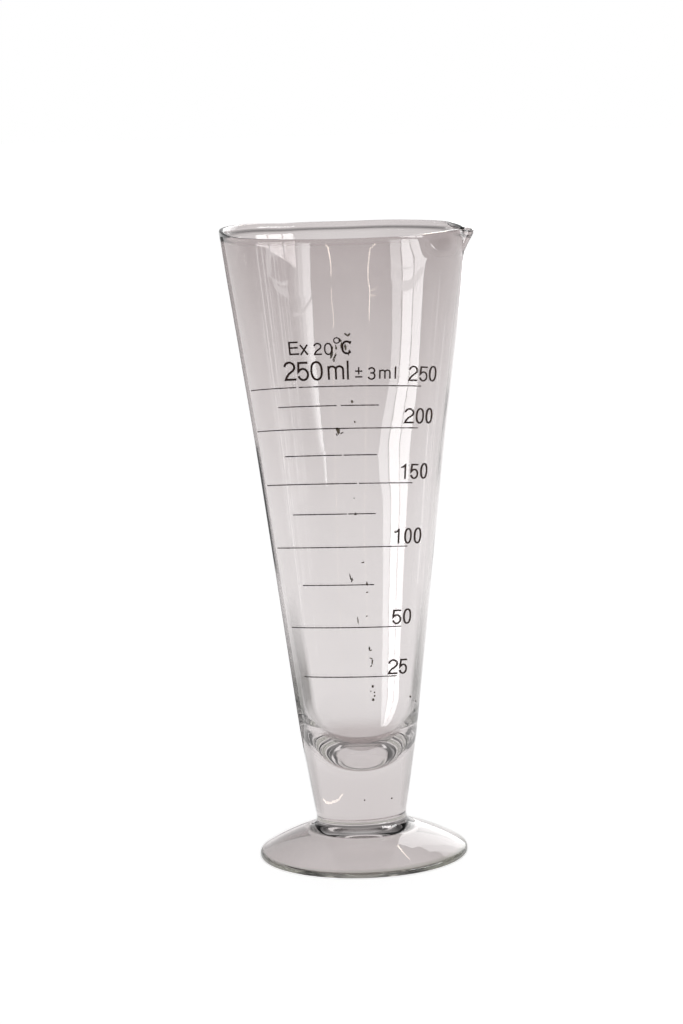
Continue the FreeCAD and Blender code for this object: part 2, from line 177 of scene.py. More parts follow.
def cavity():
    """The inside from the lip's root down to the middle of the bowl's bottom."""
    low_share = (FLARE[0] - STEM_TOP[0]) / (FLARE[1] - STEM_TOP[1])
    low_radius = STEM_TOP[0] + (WALL_LOW[1] - STEM_TOP[1]) * low_share
    low = np.array([low_radius - WALL_LOW[0], WALL_LOW[1]])
    flare = np.array([FLARE[0] - WALL_FLARE, FLARE[1]])
    top = np.array([LIP_BASE_RADIUS - WALL_TOP, LIP_BASE])
    bottom_centre = np.array([0.0, FLOOR_HEIGHT + BOTTOM_RADIUS])
    slope = (flare - low) / np.linalg.norm(flare - low)
    inward = np.array([-slope[1], slope[0]])
    across = (low - bottom_centre) @ inward + SIDE_RADIUS
    along = math.sqrt((SIDE_RADIUS - BOTTOM_RADIUS) ** 2 - across ** 2)
    side_centre = bottom_centre + inward * across + slope * along
    out = bottom_centre - side_centre
    join = math.atan2(out[1], out[0])
    meets = side_centre - inward * SIDE_RADIUS
    wall = wall_line([meets, flare, top], [FLARE_ROUNDING_INSIDE], INNER_ROWS)[::-1]
    side = on_arc(side_centre, SIDE_RADIUS, math.atan2(-inward[1], -inward[0]), join, 26)[1:]
    bottom = on_arc(bottom_centre, BOTTOM_RADIUS, join, -math.pi / 2, 26)[1:-1]
    return np.vstack([wall, side, bottom])


def mouth_half(inset, counts):
    """The rim's outline on the +Y side, from the back to the tip of the lip. Each point is the
    top of one column of the mesh, which begins at an angle of the round root."""
    rim = RIM_RADIUS - inset
    blend = SHOULDER_BLEND - inset
    lip = LIP_RADIUS - inset
    corner = LIP_CORNER_RADIUS + inset
    blend_centre = polar(RIM_RADIUS - SHOULDER_BLEND, SHOULDER_ANGLE)
    lip_centre = np.array([RIM_RADIUS + LIP_REACH - LIP_RADIUS, 0.0])
    corner_centre = lip_centre + polar(LIP_RADIUS + LIP_CORNER_RADIUS, LIP_SIDE_ANGLE)
    between = corner_centre - blend_centre
    tilt = math.degrees(math.atan2(between[1], between[0])
                        + math.acos((SHOULDER_BLEND + LIP_CORNER_RADIUS) / np.linalg.norm(between)))
    back, bent, flank, cornered, tip = counts
    points = [polar(rim, a) for a in np.linspace(180, SHOULDER_ANGLE, back + 1)]
    points += [blend_centre + polar(blend, a)
               for a in np.linspace(SHOULDER_ANGLE, tilt, bent + 1)[1:]]
    start, end = points[-1], corner_centre - polar(corner, tilt)
    points += [start + (end - start) * t for t in np.linspace(0, 1, flank + 1)[1:]]
    points += [corner_centre - polar(corner, a)
               for a in np.linspace(tilt, LIP_SIDE_ANGLE, cornered + 1)[1:]]
    points += [lip_centre + polar(lip, a) for a in np.linspace(LIP_SIDE_ANGLE, 0, tip + 1)[1:]]
    return np.array(points)


# Columns in the round back, the shoulder's bend, the flat flank, the hollow corner and the tip
COUNTS = (70, 16, 14, 9, 12)
ROOT_ANGLES = (180.0, SHOULDER_ANGLE, FLANK_ROOT_ANGLE, CORNER_ROOT_ANGLE, LIP_ROOT_ANGLE, 0.0)


def around(half):
    """A whole ring from its +Y half: the tip last on each side is used once."""
    return np.vstack([half, half[-2:0:-1] * np.array([1, -1])])


def root_ring():
    """Points on a circle of radius 1 under the points of the rim."""
    angles = [ROOT_ANGLES[0]]
    for count, start, end in zip(COUNTS, ROOT_ANGLES, ROOT_ANGLES[1:]):
        angles += list(np.linspace(start, end, count + 1)[1:])
    return around(np.array([polar(1.0, a) for a in angles]))


ROOT = root_ring()
COLUMNS = len(ROOT)


def mouth_ring(inset):
    return around(mouth_half(inset, COUNTS))


# Slow waves in the glass: upright folds that drift as they climb, the same in every run.
# Each has its number round the glass, its phase, its drift and its weight.
rng = random.Random(7)
WAVES = [(k, rng.uniform(0, 2 * math.pi), rng.uniform(-0.012, 0.012),
          rng.uniform(0.5, 1.0) / k ** 0.6) for k in range(2, 15)]


def wave(angle, height, seed):
    """A smooth uneven number between about -1 and 1, by angle round the glass and height."""
    total = 0.0
    for k, phase, drift, weight in WAVES:
        total = total + weight * np.cos(k * angle + phase * seed + drift * height * k)
    return total / 2.2


# The camera's right, and the way that it looks, seen from above
TO_RIGHT = polar(1.0, CAMERA_AZIMUTH)
AWAY = np.array([-TO_RIGHT[1], TO_RIGHT[0]])


def smooth(t):
    t = np.clip(t, 0.0, 1.0)
    return t * t * (3 - 2 * t)


def outer_radius(height):
    """The bowl's outer radius, with the corners between its cones rounded off."""
    return np.interp(height, OUTER_WALL[:, 1], OUTER_WALL[:, 0])


def outer_offset(angle, height):
    """How far the outer wall stands out of its cone."""
    fade = smooth((height - 20) / 40) * smooth((LIP_BASE - height) / 25)
    return WAVES_OUTSIDE * wave(angle, height, 1.0) * fade - WAVES_OUTSIDE * fade


def ring_at(radius, height):
    """A ring of the mesh on the outside, below the lip's root."""
    angle = np.arctan2(ROOT[:, 1], ROOT[:, 0])
    xy = ROOT * (radius + outer_offset(angle, height))[:, None]
    shift = FOOT_SHIFT * smooth((16 - height) / 12)
    return np.column_stack([xy + TO_RIGHT * shift, np.full(COLUMNS, height)])


# The rim was rounded by hand: its bead is full at the far side and thins out at the left and
# the right to a plain edge on the camera's side. The far side and the left stand higher.
# NEARNESS is 1 on the camera's side and 0 at the far side, by column.
NEARNESS = (1 - ROOT @ AWAY) / 2
SIDEWAYS = ROOT @ TO_RIGHT
FULLNESS = smooth((0.75 - NEARNESS) / 0.4)
RIM_RISE = smooth((0.8 - NEARNESS) / 0.35) * (
    FAR_RIM_RISE + SIDE_RIM_RISE * smooth(abs(SIDEWAYS) / 0.45)
    + LEFT_RIM_RISE * smooth((-SIDEWAYS - 0.45) / 0.45))


def mouth_level(inset, height, near_inset=None, near_height=None):
    """A ring between the round root of the mouth and its pulled rim. On the camera's side the
    ring may have an inset and a height of its own."""
    level = max((height - LIP_BASE) / LIP_DEPTH, 0.0)
    nearer = inset if near_inset is None else near_inset
    local = nearer + (inset - nearer) * FULLNESS
    z = height + RIM_RISE * smooth(level) - NEAR_RIM_DROP * NEARNESS * level
    cone = (z - LIP_BASE) / LIP_DEPTH
    if near_height is not None:
        z = z + (near_height - height) * (1 - FULLNESS)
    near_ring = mouth_ring(nearer)
    pulled = near_ring + (mouth_ring(inset) - near_ring) * FULLNESS[:, None]
    circle = ROOT * (LIP_BASE_RADIUS - local)[:, None]
    rim_circle = ROOT * (RIM_RADIUS - local)[:, None]
    xy = circle + (rim_circle - circle) * cone[:, None]
    xy = xy + (pulled - rim_circle) * level ** PULL_POWER
    droop = LIP_DROOP * np.exp(-((xy[:, 0] - DROOP_CENTRE) ** 2 + xy[:, 1] ** 2) / DROOP_SPREAD)
    return np.column_stack([xy, z - droop * smooth(level)])


PROFILE = foot_and_stem()
OUTER_WALL = wall_line([tuple(PROFILE[-1]), STEM_TOP, FLARE, (LIP_BASE_RADIUS, LIP_BASE)],
                       [STEM_TOP_ROUNDING, FLARE_ROUNDING], OUTER_ROWS)
# Inside the mouth, where the rounded rim runs out into the wall: inset and height
NECK = ((1.42, 207.35), (1.34, 207.05), (1.28, 206.75), (1.26, 206.4))
NECK_INSET = NECK[-1][0]


def glass_rings():
    """Every ring of the glass, from under the foot up the outside and down the inside."""
    rings = []
    for radius, height in PROFILE:
        rings.append(ring_at(radius, height))
    for radius, height in OUTER_WALL[1:]:
        rings.append(ring_at(radius, height))
    bead_height = RIM_HEIGHT - BEAD_HALF_HEIGHT
    for height in np.linspace(LIP_BASE, bead_height, MOUTH_ROWS + 1)[1:]:
        rings.append(mouth_level(0.0, height))
    for turn in np.linspace(0, BEAD_TURN, BEAD_ROWS + 1)[1:]:
        height = bead_height + BEAD_HALF_HEIGHT * math.sin(turn)
        near_inset = NECK_INSET * (1 - math.cos(min(turn, math.pi))) / 2
        below = max(turn - math.pi, 0) / (BEAD_TURN - math.pi)
        near_height = (RIM_HEIGHT - EDGE_ROUNDING + EDGE_ROUNDING * max(math.sin(turn), 0)
                       - (BEAD_HALF_HEIGHT * (1 - math.sin(BEAD_TURN)) - EDGE_ROUNDING) * below)
        inset = BEAD_HALF_WIDTH * (1 - math.cos(turn))
        rings.append(mouth_level(inset, height, near_inset, near_height))
    for inset, height in NECK:
        rings.append(mouth_level(inset, height, NECK_INSET))
    for t in np.linspace(1, 0, MOUTH_INSIDE_ROWS + 1)[1:]:
        rings.append(mouth_level(WALL_TOP + (NECK_INSET - WALL_TOP) * t,
                                 LIP_BASE + (NECK[-1][1] - LIP_BASE) * t))
    angle = np.arctan2(ROOT[:, 1], ROOT[:, 0])
    for radius, height in cavity()[1:]:
        shift = BOWL_SHIFT * smooth((125 - height) / 75)
        fade = smooth((height - 31) / 22) * smooth((LIP_BASE - height) / 15)
        uneven = (WAVES_INSIDE * wave(angle, height, 2.7)) * fade
        xy = ROOT * (radius + uneven)[:, None] + TO_RIGHT * shift
        rings.append(np.column_stack([xy, np.full(COLUMNS, height)]))
    return rings


def mesh_object(name, vertices, faces, smooth_shading=True):
    """An object in the scene from points in millimetres."""
    mesh = bpy.data.meshes.new(name)
    mesh.from_pydata([tuple(float(c) * MM for c in v) for v in vertices], [], faces)
    mesh.validate()
    mesh.polygons.foreach_set("use_smooth", [smooth_shading] * len(mesh.polygons))
    mesh.update()
    piece = bpy.data.objects.new(name, mesh)
    bpy.context.scene.collection.objects.link(piece)
    return piece


def make_glass():
    """The glass as one closed mesh; its second material is for the bowl's inside."""
    rings = glass_rings()
    vertices = [tuple(v) for ring in rings for v in ring]
    faces = []
    for row in range(len(rings) - 1):
        a, b = row * COLUMNS, (row + 1) * COLUMNS
        for i in range(COLUMNS):
            j = (i + 1) % COLUMNS
            faces.append((a + j, a + i, b + i, b + j))
    under = len(vertices)
    vertices.append((*(FOOT_SHIFT * TO_RIGHT), DOME_CENTRE + HOLLOW_RADIUS))
    faces += [((i + 1) % COLUMNS, under, i) for i in range(COLUMNS)]
    inside = len(vertices)
    vertices.append((*(BOWL_SHIFT * TO_RIGHT), FLOOR_HEIGHT))
    last = (len(rings) - 1) * COLUMNS
    faces += [(last + i, inside, last + (i + 1) % COLUMNS) for i in range(COLUMNS)]
    piece = mesh_object("clear_glass", vertices, faces)
    outside_rows = len(PROFILE) + len(OUTER_WALL) - 1 + MOUTH_ROWS + BEAD_ROWS_OUTSIDE
    bottom = len(faces) - COLUMNS
    for number, polygon in enumerate(piece.data.polygons):
        row = number // COLUMNS
        polygon.material_index = int(outside_rows <= row < len(rings) - 1 or number >= bottom)
    return piece


class Nodes:
    """A short way to write a material's nodes."""

    def __init__(self, name):
        self.material = bpy.data.materials.new(name)
        self.material.use_nodes = True
        self.tree = self.material.node_tree
        self.shader = self.tree.nodes["Principled BSDF"]

    def add(self, kind, inputs=None, **settings):
        node = self.tree.nodes.new(kind)
        for key, setting in settings.items():
            setattr(node, key, setting)
        for key, source in (inputs or {}).items():
            self.join(source, node.inputs[key])
        return node

    def join(self, source, socket):
        if hasattr(source, "links"):
            self.tree.links.new(source, socket)
        else:
            socket.default_value = source


def tint(red):
    """The mauve grey of the glass, by its red."""
    return (red, red ** 1.16, red ** 1.17, 1)


# Share of the glass's height, and how much light its outside and its inside let through there.
# On the outside this is partly the glass's own mauve grey and partly painted shade, darker towards
# the rim for a greyer backdrop seen through the glass; the inside is darker only at the bowl's
# bottom.
OUTSIDE_TINT_AND_SHADE = ((0.0, 0.62), (0.06, 0.62), (0.12, 0.63), (0.22, 0.71), (0.38, 0.70),
                (0.55, 0.67), (0.7, 0.60), (0.86, 0.51), (0.965, 0.44), (1.0, 0.39))
INSIDE_TINT = ((0.0, 0.6), (0.17, 0.6), (0.20, 1.0), (1.0, 1.0))
# The foot's edge, painted a darker olive grey as shade: its colour, and the radii and heights in
# metres between which it begins
EDGE_SHADE_COLOUR = (0.30, 0.30, 0.25, 1)
EDGE_RADII = (0.0333, 0.0348)
EDGE_HEIGHTS = (0.007, 0.005)
# Where light runs a long way through the thick low wall: the colour it comes to, how far left
# and right in metres it changes, how much there is at those two sides, how glancing the look
# has to be, and how much more so at the right, where the wall is thinner
THICK_COLOUR = (0.035, 0.035, 0.028, 1)
THICK_SIDES = (-0.012, 0.012)
THICK_SHARES = (0.93, 0.80)
THICK_ANGLES = (0.42, 0.56)
THICK_NARROWER = 0.08
# Heights in metres and how much it shows there: over the foot, from the stem to the bowl's
# bottom, and up the wall
THICK_HEIGHTS = ((0.012, 0.018, 0.0, 1.0), (0.044, 0.052, 0.4, 1.0), (0.060, 0.090, 1.0, 0.0))


def long_way(n, place, height):
    """How much of the light a glancing look at the thick wall and the stem loses, 0 to 1."""
    def mapped(source, start, end, low, high):
        return n.add("ShaderNodeMapRange", {"Value": source, "From Min": start, "From Max": end,
                                            "To Min": low, "To Max": high}).outputs["Result"]

    def times(a, b, operation="MULTIPLY"):
        return n.add("ShaderNodeMath", {0: a, 1: b}, operation=operation).outputs[0]

    facing = n.add("ShaderNodeLayerWeight", {"Blend": 0.5}).outputs["Facing"]
    side = n.add("ShaderNodeVectorMath", {0: place, 1: (*TO_RIGHT, 0)},
                 operation="DOT_PRODUCT").outputs["Value"]
    narrower = mapped(side, *THICK_SIDES, 0.0, THICK_NARROWER)
    glancing = mapped(times(facing, narrower, "SUBTRACT"), *THICK_ANGLES, 0.0, 1.0)
    depth = times(glancing, mapped(side, *THICK_SIDES, *THICK_SHARES))
    for limits in THICK_HEIGHTS:
        depth = times(depth, mapped(height, *limits))
    return depth


def glass_material(name, stops):
    """Soda glass with a mauve grey tint and painted shade: greyer towards the rim, olive grey at
    the foot's edge and darker where a glancing look crosses the thick wall, with a faintly uneven
    skin.
    """
    n = Nodes(name)
    place = n.add("ShaderNodeTexCoord").outputs["Object"]
    height = n.add("ShaderNodeSeparateXYZ", {0: place}).outputs["Z"]
    share = n.add("ShaderNodeMapRange", {"Value": height, "From Min": 0.0,
                                         "From Max": RIM_HEIGHT * MM}).outputs["Result"]
    # The tint by height: the glass's own mauve grey, with painted shade that darkens the outside
    # towards the rim
    ramp = n.add("ShaderNodeValToRGB", {"Fac": share})
    elements = ramp.color_ramp.elements
    elements[0].color = tint(stops[0][1])
    elements[1].color = tint(stops[-1][1])
    for position, red in stops[1:-1]:
        elements.new(position).color = tint(red)
    flat = n.add("ShaderNodeVectorMath", {0: place, 1: (1, 1, 0)}, operation="MULTIPLY").outputs[0]
    radius = n.add("ShaderNodeVectorMath", {0: flat}, operation="LENGTH").outputs["Value"]
    brim, low = (n.add("ShaderNodeMapRange", {"Value": source, "From Min": start,
                                              "From Max": end}).outputs["Result"]
                 for source, (start, end) in ((radius, EDGE_RADII), (height, EDGE_HEIGHTS)))
    # Painted shade: where the foot's edge turns olive grey
    edge = n.add("ShaderNodeMath", {0: brim, 1: low}, operation="MULTIPLY").outputs[0]
    mix = n.add("ShaderNodeMix", {"Factor": edge}, data_type="RGBA")
    n.join(ramp.outputs["Color"], mix.inputs[6])
    n.join(EDGE_SHADE_COLOUR, mix.inputs[7])
    thick = n.add("ShaderNodeMix", {"Factor": long_way(n, place, height)}, data_type="RGBA")
    n.join(mix.outputs[2], thick.inputs[6])
    n.join(THICK_COLOUR, thick.inputs[7])
    n.join(thick.outputs[2], n.shader.inputs["Base Color"])
    ripple = n.add("ShaderNodeTexNoise", {"Vector": place, "Scale": 18.0, "Detail": 1.0})
    bump = n.add("ShaderNodeBump", {"Height": ripple.outputs["Fac"], "Strength": 0.05,
                                    "Distance": 0.001})
    n.join(bump.outputs["Normal"], n.shader.inputs["Normal"])
    n.shader.inputs["Transmission Weight"].default_value = 1.0
    n.shader.inputs["Roughness"].default_value = 0.0
    n.shader.inputs["IOR"].default_value = 1.52
    return n.material


glass = make_glass()
glass.data.materials.append(glass_material("clear_glass", OUTSIDE_TINT_AND_SHADE))
glass.data.materials.append(glass_material("clear_glass_inside", INSIDE_TINT))
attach(glass, "root")
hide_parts("measuring_glass")

# The print: brown enamel on the outside of the wall. Every line and every row of characters
# lies in a tilted plane: its slope, and the direction of the slope from the front.
LINE_TILT = math.tan(math.radians(8.7))
LINE_TURN = math.radians(8.0)
LINE_WIDTH = 0.34
ENAMEL_THICKNESS = 0.09
EMBEDDED = 0.02
# Millilitres: height at the front, angles to the left and right end, and where the line is
# worn away, as pairs of angles
GRADUATIONS = {
    25: (64.6, 38.6, 48.4, ()),
    50: (81.5, 47.6, 50.5, ()),
    75: (95.9, 27.2, 27.0, ()),
    100: (108.6, 52.3, 52.7, ()),
    125: (119.7, 28.8, 28.0, ((9.5, 10.3),)),
    150: (129.8, 54.2, 54.1, ((16.3, 17.6),)),
    175: (139.2, 29.9, 28.7, ((8.0, 8.8),)),
    200: (148.0, 56.7, 55.9, ()),
    225: (155.5, 30.2, 29.5, ((6.1, 8.4),)),
    250: (161.8, 56.0, 56.2, ((-16.4, -14.7),)),
}
# Characters: which one, the angles of its left and right edge, the height of its foot at the
# front, how tall it is, how wide it looks from the camera, and the width of its stroke
CHARACTERS = (
    ("E", -18.4, -12.6, 172.4, 4.4, 3.28, 0.56), ("x", -12.1, -7.3, 172.3, 3.3, 2.82, 0.52),
    ("2", -4.5, -0.2, 172.1, 4.0, 2.66, 0.49), ("0", 1.0, 5.3, 172.0, 4.0, 2.76, 0.49),
    ("°", 5.9, 9.3, 175.6, 2.1, 2.23, 0.39), ("C", 9.8, 15.5, 172.1, 4.5, 3.67, 0.66),
    ("2", -23.0, -15.6, 164.1, 6.3, 3.87, 0.69), ("5", -14.8, -8.0, 163.8, 6.3, 3.87, 0.69),
    ("0", -7.1, -0.3, 163.8, 6.4, 4.13, 0.69), ("m", 2.2, 10.9, 164.0, 4.6, 5.41, 0.66),
    ("l", 12.2, 13.4, 163.9, 6.2, 0.75, 0.66), ("±", 16.6, 20.4, 164.5, 3.4, 2.36, 0.46),
    ("3", 23.1, 27.5, 163.7, 4.2, 2.66, 0.52), ("m", 29.4, 35.9, 164.1, 3.0, 3.80, 0.49),
    ("l", 38.1, 39.2, 164.1, 4.0, 0.59, 0.49),
    ("2", 46.8, 53.1, 163.4, 5.0, 3.02, 0.52), ("5", 54.2, 60.7, 163.3, 5.0, 2.76, 0.52),
    ("0", 61.7, 68.6, 163.4, 5.2, 2.46, 0.52),
    ("2", 45.4, 52.4, 149.5, 5.0, 3.25, 0.56), ("0", 53.6, 60.3, 149.4, 5.2, 2.69, 0.56),
    ("0", 61.6, 68.4, 149.5, 5.2, 2.30, 0.56),
    ("1", 44.8, 48.6, 131.1, 5.0, 1.64, 0.52), ("5", 51.8, 58.8, 131.0, 5.1, 2.66, 0.56),
    ("0", 60.4, 67.8, 131.1, 5.3, 2.36, 0.56),
    ("1", 41.6, 45.7, 109.5, 5.0, 1.71, 0.56), ("0", 49.6, 56.3, 109.4, 5.3, 2.43, 0.56),
    ("0", 58.2, 66.3, 109.4, 5.4, 2.46, 0.56),
    ("5", 42.0, 50.5, 82.2, 5.0, 2.98, 0.56), ("0", 52.2, 61.0, 82.2, 5.3, 2.62, 0.56),
    ("2", 39.7, 49.4, 65.2, 5.1, 3.18, 0.56), ("5", 50.6, 60.1, 65.1, 5.2, 2.66, 0.56),
)


def on_print(angle, height, lift):
    """A point over the wall, by its angle from the front and the height of its line there."""
    a = math.radians(angle)
    front = float(outer_radius(height))
    radius = front
    level = height
    for _ in range(3):
        x, y = radius * math.sin(a), -radius * math.cos(a)
        level = height + LINE_TILT * (math.sin(LINE_TURN) * x - math.cos(LINE_TURN) * (y + front))
        radius = float(outer_radius(level))
    around_axis = math.atan2(-math.cos(a), math.sin(a))
    radius += float(outer_offset(around_axis, level)) + lift
    return (radius * math.sin(a), -radius * math.cos(a), level)


def face_outward(piece):
    """Turns every face of a piece made of closed bodies to the outside."""
    shape = bmesh.new()
    shape.from_mesh(piece.data)
    bmesh.ops.recalc_face_normals(shape, faces=shape.faces)
    shape.to_mesh(piece.data)
    shape.free()


def gather(parts):
    """One list of vertices and faces from several."""
    vertices, faces = [], []
    for points, polygons in parts:
        faces += [tuple(i + len(vertices) for i in polygon) for polygon in polygons]
        vertices += points
    return vertices, faces


def bar(one_side, other_side, closed, place):
    """A bar between two rows of flat points; place(x, y, lift) puts a point on the wall."""
    points, faces = [], []
    for (ax, ay), (bx, by) in zip(one_side, other_side):
        points += [place(ax, ay, -EMBEDDED), place(bx, by, -EMBEDDED),
                   place(bx, by, 0.0), place(ax, ay, 0.0)]
    count = len(one_side)
    for i in range(count if closed else count - 1):
        a, b = 4 * i, 4 * ((i + 1) % count)
        faces += [(a + k, a + (k + 1) % 4, b + (k + 1) % 4, b + k) for k in range(4)]
    if not closed:
        last = 4 * (count - 1)
        faces += [(3, 2, 1, 0), (last, last + 1, last + 2, last + 3)]
    return points, faces


def graduation_lines():
    """The lines, their edges a little uneven, without the stretches that are worn away."""
    chance = random.Random(3)

    def place(x, y, lift):
        return on_print(x, y, lift if lift < 0 else ENAMEL_THICKNESS)

    bars = []
    for height, left, right, gaps in GRADUATIONS.values():
        begins = -left
        for ends, resumes in gaps + ((right, None),):
            count = max(4, int((ends - begins) / 0.8))
            angles = [begins + (ends - begins) * i / (count - 1) for i in range(count)]
            halves = [LINE_WIDTH / 2 * chance.uniform(0.8, 1.12) for _ in angles]
            bars.append(bar([(a, height + h) for a, h in zip(angles, halves)],
                            [(a, height - h) for a, h in zip(angles, halves)], False, place))
            begins = resumes
    return gather(bars)


def oval(centre, radii, start, end, count=22, fullness=2.0):
    """Points on an oval from one angle to another; with fullness over 2 its corners swell."""
    a = np.radians(np.linspace(start, end, count))
    c, s = np.cos(a), np.sin(a)
    power = 2.0 / fullness
    return [(centre[0] + radii[0] * np.sign(u) * abs(u) ** power,
             centre[1] + radii[1] * np.sign(v) * abs(v) ** power) for u, v in zip(c, s)]


def pen_paths(glyph, w, h, e):
    """Where the middle of a pen of half width e runs, in a box of width w and height h."""
    x0, x1, y0, y1, xm = e, w - e, e, h - e, w / 2
    rx = xm - e
    if glyph in "0°":
        return [oval((xm, h / 2), (rx, h / 2 - e), 0, 360, 41, 2.25)]
    if glyph == "1":
        return [[(x1, 0), (x1, h)],
                [(0, h * 0.775), (w * 0.42, h * 0.795), (x1 - e * 0.4, h * 0.90)]]
    if glyph == "2":
        hook = oval((xm, y1 - h * 0.26), (rx, h * 0.26), 172, -18, 20)
        return [hook + [(x1 - w * 0.16, h * 0.50), (xm - w * 0.08, h * 0.36),
                        (x0 + w * 0.10, h * 0.19), (x0, y0), (w, y0)]]
    if glyph == "3":
        upper = oval((xm, y1 - h * 0.21), (rx * 0.92, h * 0.21), 160, -62, 18)
        lower = oval((xm, y0 + h * 0.25), (rx, h * 0.25), 62, -165, 20)
        return [upper + lower, [(xm - w * 0.14, h * 0.54), (xm + w * 0.12, h * 0.54)]]
    if glyph == "5":
        return [[(w * 0.94, y1), (x0 + w * 0.09, y1), (x0 + w * 0.01, h * 0.47)]
                + oval((xm, y0 + h * 0.29), (rx, h * 0.29), 128, -166, 22)]
    if glyph == "E":
        return [[(w * 0.95, y1), (x0, y1), (x0, y0), (w, y0)],
                [(x0, h * 0.53), (w * 0.92, h * 0.53)]]
    if glyph == "x":
        return [[(e * 0.9, 0), (w - e * 0.9, h)], [(e * 0.9, h), (w - e * 0.9, 0)]]
    if glyph == "C":
        return [oval((xm, h / 2), (rx, h / 2 - e), 42, 322, 30, 2.2)]
    if glyph == "m":
        arch = [[(x0, 0), (x0, h * 0.96)]]
        for start, end in ((x0, xm), (xm, x1)):
            middle, reach = (start + end) / 2, (end - start) / 2
            arch.append(oval((middle, y1 - h * 0.24), (reach, h * 0.24), 165, 0, 12) + [(end, 0)])
        return arch
    if glyph == "l":
        return [[(xm, 0), (xm, h)]]
    return [[(0, h * 0.62), (w, h * 0.62)], [(xm, h * 0.30), (xm, h)], [(0, y0), (w, y0)]]


def pen_sides(path, e):
    """Both sides of a pen stroke along a path, and whether it closes on itself."""
    path = np.array(path, float)
    closed = np.allclose(path[0], path[-1])
    fine = []
    for a, b in zip(path, path[1:]):
        steps = max(1, int(np.linalg.norm(b - a) / 0.4))
        fine += [a + (b - a) * i / steps for i in range(steps)]
    fine = np.array(fine if closed else fine + [path[-1]])
    before, after = np.roll(fine, 1, 0), np.roll(fine, -1, 0)
    if not closed:
        before[0], after[-1] = 2 * fine[0] - fine[1], 2 * fine[-1] - fine[-2]
    into = (fine - before) / np.linalg.norm(fine - before, axis=1)[:, None]
    out = (after - fine) / np.linalg.norm(after - fine, axis=1)[:, None]
    along = into + out
    along /= np.linalg.norm(along, axis=1)[:, None]
    across = np.column_stack([-along[:, 1], along[:, 0]])
    mitre = 1 / np.maximum(0.45, np.sum(along * into, axis=1))
    return fine + across * e * mitre[:, None], fine - across * e * mitre[:, None], closed


def character(glyph, left, right, base, tall, wide, stroke):
    """One printed character, each pen stroke a bar that lies a hair above the one before."""
    bars = []
    for number, path in enumerate(pen_paths(glyph, wide, tall, stroke / 2)):
        def place(x, y, lift, top=ENAMEL_THICKNESS + 0.006 * number):
            return on_print(left + (right - left) * x / wide, base + y, lift if lift < 0 else top)
        bars.append(bar(*pen_sides(path, stroke / 2), place))
    return gather(bars)


def enamel_material():
    """Dark brown ceramic ink, mottled where it is thin."""
    n = Nodes("brown_enamel")
    place = n.add("ShaderNodeTexCoord").outputs["Object"]
    mottle = n.add("ShaderNodeTexNoise", {"Vector": place, "Scale": 900.0, "Detail": 4.0,
                                          "Roughness": 0.65})
    ramp = n.add("ShaderNodeValToRGB", {"Fac": mottle.outputs["Fac"]})
    stops = ramp.color_ramp.elements
    stops[0].position, stops[0].color = 0.35, (0.012, 0.005, 0.004, 1)
    stops[1].position, stops[1].color = 0.75, (0.055, 0.024, 0.018, 1)
    n.join(ramp.outputs["Color"], n.shader.inputs["Base Color"])
    grain = n.add("ShaderNodeTexNoise", {"Vector": place, "Scale": 2600.0, "Detail": 3.0})
    rough = n.add("ShaderNodeMapRange", {"Value": mottle.outputs["Fac"], "To Min": 0.45,
                                         "To Max": 0.7})
    n.join(rough.outputs["Result"], n.shader.inputs["Roughness"])
    bump = n.add("ShaderNodeBump", {"Height": grain.outputs["Fac"], "Strength": 0.35,
                                    "Distance": 0.00004})
    n.join(bump.outputs["Normal"], n.shader.inputs["Normal"])
    n.shader.inputs["Specular IOR Level"].default_value = 0.12
    return n.material


enamel = enamel_material()
scale = mesh_object("scale_lines", *graduation_lines(), smooth_shading=False)
numbers = mesh_object("scale_numbers", *gather([character(*entry) for entry in CHARACTERS]),
                      smooth_shading=False)
for piece in (scale, numbers):
    face_outward(piece)
    piece.data.materials.append(enamel)
    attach(piece, "root")
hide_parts("graduation_marks")

# Dried specks left on the wall: angle from the front, height, length, width and lean of each.
# Their crusts reach out beyond these lengths and widths, by these factors.
SPECK_LENGTHS = 1.2
SPECK_WIDTHS = 1.75
SPECKS = (
    (4.8, 172.6, 3.6, 0.55, 78), (6.3, 171.4, 2.6, 0.4, 62), (7.2, 174.4, 1.5, 0.4, 100),
    (9.4, 176.6, 1.6, 0.5, 120), (12.2, 178.6, 1.3, 0.45, 140), (13.9, 178.4, 1.2, 0.4, 40),
    (10.4, 174.6, 2.4, 0.5, 100), (13.6, 172.6, 2.2, 0.45, 75), (11.9, 174.4, 1.9, 0.55, 95),
    (9.9, 174.9, 1.6, 0.5, 88), (5.9, 170.2, 1.2, 0.3, 84), (14.4, 175.9, 1.0, 0.5, 60),
    (14.6, 156.7, 0.9, 0.6, 90), (15.9, 150.0, 0.7, 0.4, 80), (6.3, 147.3, 2.3, 0.75, 95),
    (8.4, 146.5, 1.1, 0.3, 20), (5.4, 146.0, 1.0, 0.3, 110), (15.0, 119.6, 0.9, 0.5, 70),
    (14.3, 124.9, 0.35, 0.3, 0), (10.2, 98.6, 2.1, 0.3, 100), (11.3, 97.6, 1.3, 0.4, 80),
    (19.3, 103.4, 1.0, 0.3, 15), (21.9, 96.2, 1.2, 0.4, 100), (21.9, 93.3, 0.8, 0.3, 10),
    (21.5, 85.3, 0.7, 0.25, 15), (14.8, 83.8, 2.3, 0.25, 96), (23.3, 74.2, 1.4, 0.35, 95),
    (24.5, 73.6, 0.8, 0.3, 20), (24.6, 70.9, 1.2, 0.3, 160), (25.7, 69.6, 2.0, 0.35, 85),
    (24.8, 68.3, 0.8, 0.3, 30), (26.1, 61.3, 1.0, 0.6, 60), (24.5, 59.6, 0.4, 0.3, 0),
    (27.7, 59.2, 0.5, 0.35, 0), (26.6, 56.6, 0.9, 0.6, 20), (27.9, 58.0, 0.6, 0.4, 40),
    (68.1, 57.0, 0.8, 0.6, 90), (80.0, 55.2, 0.7, 0.5, 90), (52.1, 21.8, 0.6, 0.5, 80),
    (17.3, 21.7, 0.6, 0.35, 10),
)


